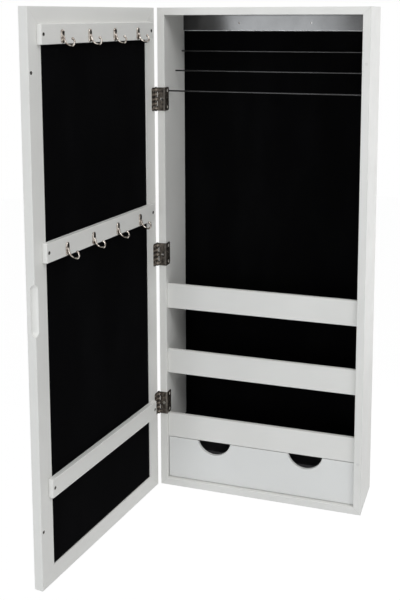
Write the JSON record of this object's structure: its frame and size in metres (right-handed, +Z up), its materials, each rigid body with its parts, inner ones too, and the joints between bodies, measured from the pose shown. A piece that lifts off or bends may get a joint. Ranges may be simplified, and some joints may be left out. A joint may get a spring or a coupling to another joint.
{
  "type": "jewelry mirror cabinet",
  "caption": "Wall-hung white cabinet with a mirror door that opens onto a velvet-lined interior with necklace rods, hooks, lipped shelves and a drawer.",
  "frame": {"origin": "midway between the two wall-screw holes, on the plane of the cabinet's back, which lies against the wall", "axes": "+Z up, +X to the right seen from the front, +Y back into the wall; the door hangs on the left and opens forward, towards -Y"},
  "size_m": [0.3967, 0.4386, 0.8],
  "materials": {
    "white_paint": "satin white paint on fibreboard",
    "black_velvet": "short black pile",
    "black_satin": "smooth black satin paint on fibreboard",
    "fibreboard": "bare hardboard",
    "mirror": "silvered glass",
    "nickel": "polished nickel plate",
    "bronze": "antique nickel plate",
    "steel": "zinc plate",
    "dark_steel": "dark polished steel"
  },
  "bodies": {
    "cabinet": {"side_left": "white_paint", "side_right": "white_paint", "top_board": "white_paint", "bottom_board": "white_paint", "back_panel": "fibreboard", "back_lining": "black_velvet", "hanging_rail": "black_satin", "catch_magnets": "steel", "shelf_lower": "white_paint", "shelf_felt_lower": "black_velvet", "shelf_front_lower": "white_paint", "hinge_leaf_cabinet_lower": "bronze", "hinge_pin_lower": "bronze", "shelf_middle": "white_paint", "shelf_felt_middle": "black_velvet", "shelf_front_middle": "white_paint", "hinge_leaf_cabinet_middle": "bronze", "hinge_pin_middle": "bronze", "shelf_upper": "white_paint", "shelf_felt_upper": "black_velvet", "shelf_front_upper": "white_paint", "hinge_leaf_cabinet_upper": "bronze", "hinge_pin_upper": "bronze", "hinge_wing_screws": "steel", "hinge_face_screws": "steel"},
    "door": {"door_stile_hinge": "white_paint", "door_stile_free": "white_paint", "door_rail_top": "white_paint", "door_rail_bottom": "white_paint", "mirror_glass": "mirror", "mirror_backing": "fibreboard", "door_felt": "black_velvet", "hook_bar_upper": "white_paint", "hook_bar_middle": "white_paint", "plain_bar_lower": "white_paint", "hook_upper_1": "nickel", "hook_upper_2": "nickel", "hook_upper_3": "nickel", "hook_upper_4": "nickel", "hook_middle_1": "nickel", "hook_middle_2": "nickel", "hook_middle_3": "nickel", "hook_middle_4": "nickel", "hinge_leaf_door_lower": "bronze", "hinge_leaf_door_middle": "bronze", "hinge_leaf_door_upper": "bronze", "hinge_door_screws": "steel", "strike_screws": "steel", "bar_screws": "steel", "hook_screws": "steel"},
    "drawer": {"drawer_front": "white_paint", "drawer_side_left": "white_paint", "drawer_side_right": "white_paint", "drawer_back": "white_paint", "drawer_bottom": "white_paint", "drawer_tray": "black_velvet"},
    "rod_front": {"necklace_rod_front": "dark_steel"},
    "rod_middle": {"necklace_rod_middle": "dark_steel"},
    "rod_rear": {"necklace_rod_rear": "dark_steel"}
  },
  "joints": [
    {"name": "door_hinge", "type": "hinge", "parent": "cabinet", "child": "door", "pos_m": [-0.1712, -0.1012, -0.375], "axis": [0, 0, -1], "range_deg": [-97, 83]},
    {"name": "drawer_slide", "type": "slide", "parent": "cabinet", "child": "drawer", "axis": [0, -1, 0], "range_m": [0, 0.06]},
    {"name": "rod_front_turn", "type": "hinge", "parent": "cabinet", "child": "rod_front", "pos_m": [0, -0.08, -0.108], "axis": [1, 0, 0], "continuous": true},
    {"name": "rod_middle_turn", "type": "hinge", "parent": "cabinet", "child": "rod_middle", "pos_m": [0, -0.0485, -0.077], "axis": [1, 0, 0], "continuous": true},
    {"name": "rod_rear_turn", "type": "hinge", "parent": "cabinet", "child": "rod_rear", "pos_m": [0, -0.017, -0.046], "axis": [1, 0, 0], "continuous": true}
  ]
}
